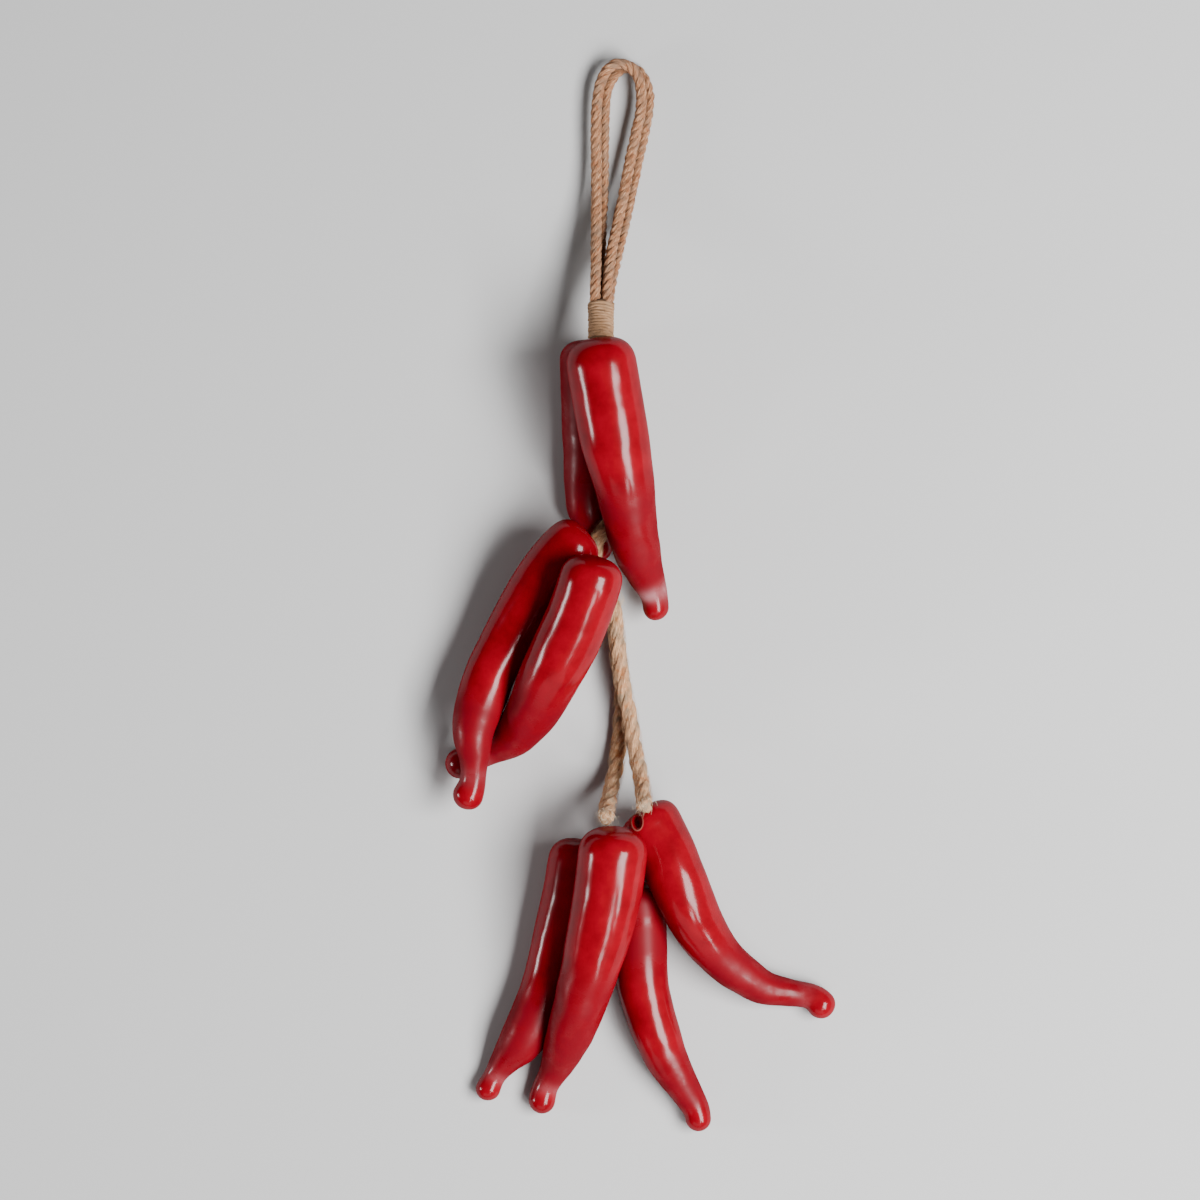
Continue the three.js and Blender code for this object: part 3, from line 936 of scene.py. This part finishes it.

# %% [markdown]
# ## The chillies
#
# Each chilli is first thought of as turned on a lathe: a radius for every distance from the crown.
# The crown is a superellipse, which is blunter than a ball; the body narrows to a neck; and the
# tip is a round knob. That straight form is then bent along its centre line. Last, slow noise
# pushes the surface in and out by up to a millimetre, because they were shaped by hand, and this
# is what makes the long highlights waver and break. Sculpting would give such lumps too, but not
# the same ones each time the script is run.
#
# Each entry below also says how its glaze has aged: "worn" is the share of the length where it
# goes dull and "dull_crown" how far down a crown is dull. "neck_reflection" says how strong the
# painted pale reflection in the neck is.

# %% Chilli data
SEAT = -0.3  # underside height of a chilli that lies on the table: it is ground flat to z = 0

# Each spine point is (x, y, height of the underside). The body has four radii along it, and the
# crown has one of its own only where it is swollen.
CHILLIES = {
    "chilli_top_front": {
        "spine": [
            (-21.4, 188.8, 32.6), (-18, 165, 32), (-12.5, 135.5, 30.2), (-8, 115, 26.5),
            (-4.3, 94, 19.6), (1.6, 75, 12.8), (7.2, 60, 9), (8, 49, 7.5),
        ],
        "body": (17.4, 17, 14.3, 11.6),
        "neck": 7.3,
        "knob": 6.5,
        "worn": 0.42,
        "neck_reflection": 0.5,
    },
    "chilli_top_back": {
        "spine": [
            (-27.2, 189.9, SEAT), (-26.2, 165, SEAT), (-26.2, 140, SEAT), (-26.8, 120, SEAT),
            (-27.2, 106, SEAT), (-25, 95, SEAT), (-21.4, 87, SEAT), (-20.2, 79, SEAT),
        ],
        "body": (14.3, 13.8, 12, 10.1),
        "neck": 6.2,
        "knob": 6.2,
        "worn": 0.0,
        "neck_reflection": 0.0,
    },
    "chilli_middle_left": {
        "spine": [
            (-25.8, 92, 16.6), (-37.6, 82, 16.2), (-54.2, 60, 11.6), (-69, 34.3, 6.4),
            (-80.4, 8.5, 9.8), (-84.2, -14, 17.6), (-83, -25, 17.6), (-86, -37.5, 14.6),
            (-89.9, -45.4, 13),
        ],
        "body": (14.8, 14, 13.1, 10.2),
        "neck": 7,
        "knob": 8,
        "worn": 0.58,
        "neck_reflection": 0.1,
    },
    "chilli_middle_front": {
        "spine": [
            (-22.5, 80.5, 43), (-26, 66, 40), (-34.2, 44, 31.2), (-46.3, 19.5, 22),
            (-55.4, 2.3, 11.5), (-65, -9.8, 2.5), (-79, -18.9, SEAT), (-89, -22.7, SEAT),
            (-98.3, -26, SEAT),
        ],
        "body": (15.8, 15.9, 13.9, 10.5),
        "neck": 7,
        "knob": 8.2,
        "worn": 0.42,
        "neck_reflection": 0.1,
    },
    "chilli_foot_left": {
        "spine": [
            (-29.5, -61.2, SEAT), (-33.8, -85, SEAT), (-39.2, -106, SEAT), (-44.8, -126, SEAT),
            (-52.3, -146.3, SEAT), (-61.2, -164.8, SEAT), (-71.6, -177.4, SEAT), (-79, -192.8, SEAT),
        ],
        "body": (15, 14, 12.3, 10.8),
        "neck": 5.6,
        "knob": 6,
        "worn": 0.5,
        "neck_reflection": 0.12,
    },
    "chilli_foot_front": {
        "spine": [
            (-13, -53.8, 35.6), (-15.5, -78, 30.3), (-20.2, -103, 26), (-28, -133.5, 20.5),
            (-34.9, -155.6, 14.6), (-42.2, -174.3, 4), (-48.5, -188, SEAT), (-50.9, -199.6, SEAT),
        ],
        "body": (17.1, 16, 13.5, 9.9),
        "neck": 6.2,
        "knob": 6.5,
        "worn": 0.4,
        "neck_reflection": 0.12,
    },
    "chilli_foot_back": {
        "spine": [
            (-2, -83, SEAT), (-0.5, -110, SEAT), (0.8, -133, SEAT), (5.2, -151, SEAT),
            (12, -169.8, SEAT), (20.3, -184.2, SEAT), (25.8, -192.5, SEAT), (29, -201, SEAT),
            (29.6, -208.6, SEAT),
        ],
        "body": (13.6, 13.2, 12.2, 9.3),
        "neck": 7,
        "knob": 6.4,
        "worn": 0.62,
        "neck_reflection": 0.0,
        "dull_crown": 0.4,
    },
    "chilli_foot_right": {
        "spine": [
            (-1.8, -47.5, 5), (3.6, -54.4, 7.5), (9.5, -61.9, 10.8), (14.6, -71.9, 14.5),
            (20.4, -85.6, 15.3), (29.8, -105.4, 10), (42.5, -122.2, 5), (65, -137.5, 0.5),
            (81.9, -139.8, SEAT), (90.4, -143, SEAT), (95.8, -149.9, SEAT),
        ],
        "crown": 17.8,
        "body": (15.2, 14.2, 11.3, 8.5),
        "neck": 6.3,
        "knob": 7.2,
        "worn": 0.45,
        "neck_reflection": 0.06,
    },
}

widest = max(max(c.get("crown", 0), *c["body"]) for c in CHILLIES.values())
print(len(CHILLIES), "chillies, the thickest of them", 2 * widest, "mm across")

# %% Girth along a chilli
NECK_REACH = 2.3  # distance from the tip to the neck, in knob radii
BODY_SHARES = (0.15, 0.35, 0.55, 0.75)  # where the four radii of the body are, along the length


def girth_along(chilli, length):
    """Radius as a function of the share of the length: a smooth curve through the given radii."""
    neck, knob = chilli["neck"], chilli["knob"]
    crown = chilli.get("crown", chilli["body"][0])
    places = [0, *BODY_SHARES, 1 - NECK_REACH * knob / length, 1 - knob / length, 1]
    radii = [crown, *chilli["body"], neck, knob, knob]
    slopes = [
        (radii[i + 1] - radii[i]) / (places[i + 1] - places[i]) for i in range(len(places) - 1)
    ]
    lean = [0.0] + [(a + b) / 2 for a, b in zip(slopes, slopes[1:])] + [0.0]

    def radius_at(share):
        share = min(max(share, 0.0), 1.0)
        i = max(k for k in range(len(places) - 1) if places[k] <= share)
        width = places[i + 1] - places[i]
        a, b, c, d = hermite_weights((share - places[i]) / width)
        return (
            a * radii[i] + b * width * lean[i] + c * radii[i + 1] + d * width * lean[i + 1]
        )

    return radius_at


print("the body's radii are given at", BODY_SHARES, "of the length")

# %% Rings of one chilli
SPINE_SAMPLES = 12
RING_STEP = 0.8  # mm
CROWN_RINGS = 26
CROWN_DEPTH = 0.86  # depth of the dome, in radii of the body behind it
CROWN_BLUNTNESS = 2.6
CROWN_CLOSED = 0.004  # the first ring is this share of the radius, and skin() fills it
KNOB_RINGS = 16
KNOB_CLOSED = 0.02  # mm, likewise


def chilli_rings(chilli, fineness):
    """Distances from the crown and radii there, in mm, and the centre line in mm."""
    underside = spline_points(chilli["spine"])
    radius_at = girth_along(chilli, distances_along(underside)[-1])
    centres = evenly(underside, SPINE_SAMPLES)
    for i, centre in enumerate(centres):
        centre[2] += radius_at(i / SPINE_SAMPLES)
    line = spline_points(centres)
    length = distances_along(line)[-1]
    radius_at = girth_along(chilli, length)
    dome = CROWN_DEPTH * chilli["body"][0]
    knob = chilli["knob"]
    places = []
    radii = []
    crown_rings = round(CROWN_RINGS * fineness)
    for i in range(crown_rings):
        depth = 1 - math.cos(i / crown_rings * math.pi / 2)
        fullness = (1 - (1 - depth) ** CROWN_BLUNTNESS) ** (1 / CROWN_BLUNTNESS)
        places.append(depth * dome)
        radii.append(max(fullness, CROWN_CLOSED) * radius_at(depth * dome / length))
    body_rings = round((length - knob - dome) / RING_STEP)
    for i in range(body_rings):
        at = dome + (length - knob - dome) * i / body_rings
        places.append(at)
        radii.append(radius_at(at / length))
    for i in range(KNOB_RINGS + 1):
        turn = i / KNOB_RINGS * math.pi / 2
        places.append(length - knob + knob * math.sin(turn))
        radii.append(max(knob * math.cos(turn), KNOB_CLOSED))
    return np.array(places), np.array(radii), line


top_places = chilli_rings(CHILLIES["chilli_top_front"], 1.0)[0]
print("the front chilli at the top has", len(top_places), "rings")

# %% Lumps and the rope hole
LUMPS = ((38, 0.5), (15, 0.3), (7, 0.09))  # (size, height) of the hand-made lumps, in mm
LUMP_SHIFT = Vector((7.3, 3.1, 0))  # in noise bumps, from one chilli to the next
CROWN_LUMPS = 0.8  # of those heights at the crown
TIP_LUMPS = 1.1  # added to that in the lower half, which was worked more
TIP_LUMPS_FROM = 0.3  # share of the length where they start to grow
TIP_LUMPS_EASE = 0.35  # share of the length over which they do
# The hole in the right-hand crown at the foot, which the main rope comes out of.
HOLE_MIDDLE = np.array((-2.0, -51.3))  # mm
HOLE_HALF = np.array((2.7, 4.0))  # mm
HOLE_DEPTH = 5.5  # mm
HOLE_WALL = 0.75  # width of the wall, as a share of the hole's half width
RIM_HEIGHT = 0.2  # mm
RIM_REACH = 1.06  # distance of the pale rim from the middle, in half widths of the hole
RIM_WIDTH = 0.07  # likewise, its half width


def lumpy(point, seed):
    """Height of the hand-made lumps at a point, in mm."""
    height = 0.0
    for size, tall in LUMPS:
        height += tall * noise.noise(Vector(point) / size + seed * LUMP_SHIFT + Vector((0, 0, size)))
    return height


def lump_strength(share):
    """How strongly the lumps show at the share of the length."""
    worked = np.clip((share - TIP_LUMPS_FROM) / TIP_LUMPS_EASE, 0, 1)
    return CROWN_LUMPS + TIP_LUMPS * worked


def sink_hole(rings, upper):
    """Sinks the oval rope hole straight down and returns how pale its rim is: bare clay and a painted
    highlight.
    """
    reach = np.linalg.norm((rings[..., :2] - HOLE_MIDDLE) / HOLE_HALF, axis=2)
    sunk = np.clip((1 - reach) / HOLE_WALL, 0, 1) * upper
    rim = np.exp(-(((reach - RIM_REACH) / RIM_WIDTH) ** 2)) * upper
    rings[..., 2] += RIM_HEIGHT * rim - HOLE_DEPTH * sunk * sunk * (3 - 2 * sunk)
    return rim


print("the lumps are up to", LUMPS[0][1], "mm high each, and the hole is", HOLE_DEPTH, "mm deep")

# %% Wear of the glaze and the painted reflection in the necks
WEAR_EASE = 0.12  # share of the length over which the glaze goes dull
KNOB_START = 0.93  # share of the length where the knob's gloss is back
KNOB_EASE = 0.06  # share of the length over which it comes back
NECK_REFLECTION_WIDTH = 0.028  # likewise, half width of the painted pale reflection round the neck


def wear_along(chilli, places):
    """How worn the glaze is at each ring, and how strong the painted reflection in the neck is."""
    share = places / places[-1]
    worn = np.clip((share - chilli["worn"]) / WEAR_EASE, 0, 1)
    worn += np.clip((chilli.get("dull_crown", 0.0) - share) / WEAR_EASE, 0, 1)
    worn *= np.clip((KNOB_START - share) / KNOB_EASE, 0, 1)
    neck = 1 - NECK_REACH * chilli["knob"] / places[-1]
    neck_reflection = chilli["neck_reflection"] * np.exp(-(((share - neck) / NECK_REFLECTION_WIDTH) ** 2))
    return worn, neck_reflection


print("a chilli's glaze goes dull over", WEAR_EASE, "of its length")

# %% [markdown]
# ### Bending and finishing a chilli
#
# A Curve modifier could bend a straight mesh too. Rings that are placed one by one are used
# instead, because the lumps, the worn glaze and the hole need to know where on the chilli each
# point is. Each ring stands square to the centre line. Where a chilli lies on the table its
# underside is ground flat, so that the string rests on small flats and not on points.

# %% Chillies
SIDES = 112
HOLE_FINENESS = 2.6  # the chilli with the rope hole needs a finer mesh for its rim


def between(places, along, values):
    """Reads rows of values, given at distances along, at the wanted places."""
    return np.stack([np.interp(places, along, values[:, k]) for k in range(3)], axis=1)


def make_chilli(name, seed, holed):
    """Bends the turned form along its centre line, adds lumps and grinds the underside flat."""
    fineness = HOLE_FINENESS if holed else 1.0
    places, radii, line = chilli_rings(CHILLIES[name], fineness)
    along = distances_along(line)
    centres = between(places, along, line)
    headings = between(places, along, tangents_of(line))
    headings /= np.linalg.norm(headings, axis=1, keepdims=True)
    across = np.cross(headings, [0.0, 0.0, 1.0])
    across /= np.linalg.norm(across, axis=1, keepdims=True)
    upward = np.cross(across, headings)
    sides = round(SIDES * fineness)
    turns = np.arange(sides) * (2 * math.pi / sides)
    out = (
        across[:, None, :] * np.sin(turns)[None, :, None]
        + upward[:, None, :] * np.cos(turns)[None, :, None]
    )
    rings = centres[:, None, :] + out * radii[:, None, None]
    # Near the crown and the tip the surface faces along the axis, so the lumps push that way.
    slope = np.gradient(radii, places)
    facing = out - headings[:, None, :] * slope[:, None, None]
    facing /= np.linalg.norm(facing, axis=2, keepdims=True)
    heights = np.array([[lumpy(point, seed) for point in ring] for ring in rings])
    heights *= lump_strength(places / places[-1])[:, None]
    rings += facing * heights[..., None]
    pale_rim = np.zeros(heights.shape)
    if holed:
        pale_rim = sink_hole(rings, facing[..., 2] > 0)
    rings[..., 2] = np.maximum(rings[..., 2], 0.0)
    vertices, faces = skin(rings * MM)
    worn, neck_reflection = wear_along(CHILLIES[name], places)
    piece = mesh_object(
        name + "_glazed",
        vertices,
        faces,
        glaze,
        attributes={
            "worn": np.repeat(worn, sides),
            "neck_reflection": np.repeat(neck_reflection, sides),
            "pale_rim": pale_rim.ravel(),
        },
    )
    hand_over(piece, name)
    print(name, "is", round(places[-1]), "mm long along its bend")


for number, name in enumerate(CHILLIES):
    make_chilli(name, number + 1, holed=name == "chilli_foot_right")

# %% [markdown]
# ## Table
#
# The string lies on a plain table painted matt white. A curved sheet of paper would serve as well,
# but the camera looks straight down, so one flat face is enough. It is staging and no part of the
# string.

# %% Table
TABLE_HALF = 3.0  # m
TABLE_DROP = 0.2 * MM  # below z = 0, so that it doesn't share a plane with the chillies' flats
table_material, table_tree, table_output = new_material("white table")
table_shader = add_node(
    table_tree,
    "ShaderNodeBsdfPrincipled",
    {"Base Color": linear("#b7b7b7"), "Roughness": 0.9, "Specular IOR Level": 0.1},
)
table_tree.links.new(table_shader.outputs["BSDF"], table_output.inputs["Surface"])
corners = [
    (x * TABLE_HALF, y * TABLE_HALF, -TABLE_DROP) for x, y in ((-1, -1), (1, -1), (1, 1), (-1, 1))
]
table = mesh_object("table", corners, [(0, 1, 2, 3)], table_material)
print("the table is", 2 * TABLE_HALF, "m wide")

# %% [markdown]
# ## Light
#
# A glossy red form is drawn by what it mirrors, so the lamps are placed by their reflections. A
# long soft box on the right lays one broad highlight down each chilli. Two small boxes beyond the
# foot put a spot on the crowns and on the knobs, a small one low on the left lays a thin line, and
# a large dim card beyond the foot lifts the lower halves. A sky picture would light the string too,
# but none of its reflections could be moved on its own.

# %% Lights
AIM = Vector((0, 0, 0.02))
FILL = 0.07  # strength of the even light from all round


def soft_box(name, middle, size, watts):
    """A soft box that faces the string's middle. Its size is (level length, height)."""
    light = bpy.data.lights.new(name, "AREA")
    light.shape = "RECTANGLE"
    light.size = size[0]
    light.size_y = size[1]
    light.energy = watts
    box = bpy.data.objects.new(name, light)
    box.location = middle
    box.rotation_euler = (AIM - Vector(middle)).to_track_quat("-Z", "Y").to_euler()
    bpy.context.scene.collection.objects.link(box)


soft_box("soft_box_right", (0.97, -0.3, 1.47), (1.35, 0.7), 96)
soft_box("soft_box_corner", (1.3, -1.26, 1.42), (0.3, 0.3), 9)
soft_box("soft_box_low", (0.54, -1.27, 1.45), (0.3, 0.34), 8)
soft_box("soft_box_left", (-1.72, -0.2, 0.46), (0.4, 0.26), 14)
soft_box("card_below", (-0.3, -1.9, 0.9), (2.2, 1.1), 7)

world = bpy.data.worlds.new("studio")
world.use_nodes = True
background = world.node_tree.nodes["Background"]
background.inputs["Color"].default_value = linear("#ffffff")
background.inputs["Strength"].default_value = FILL
bpy.context.scene.world = world
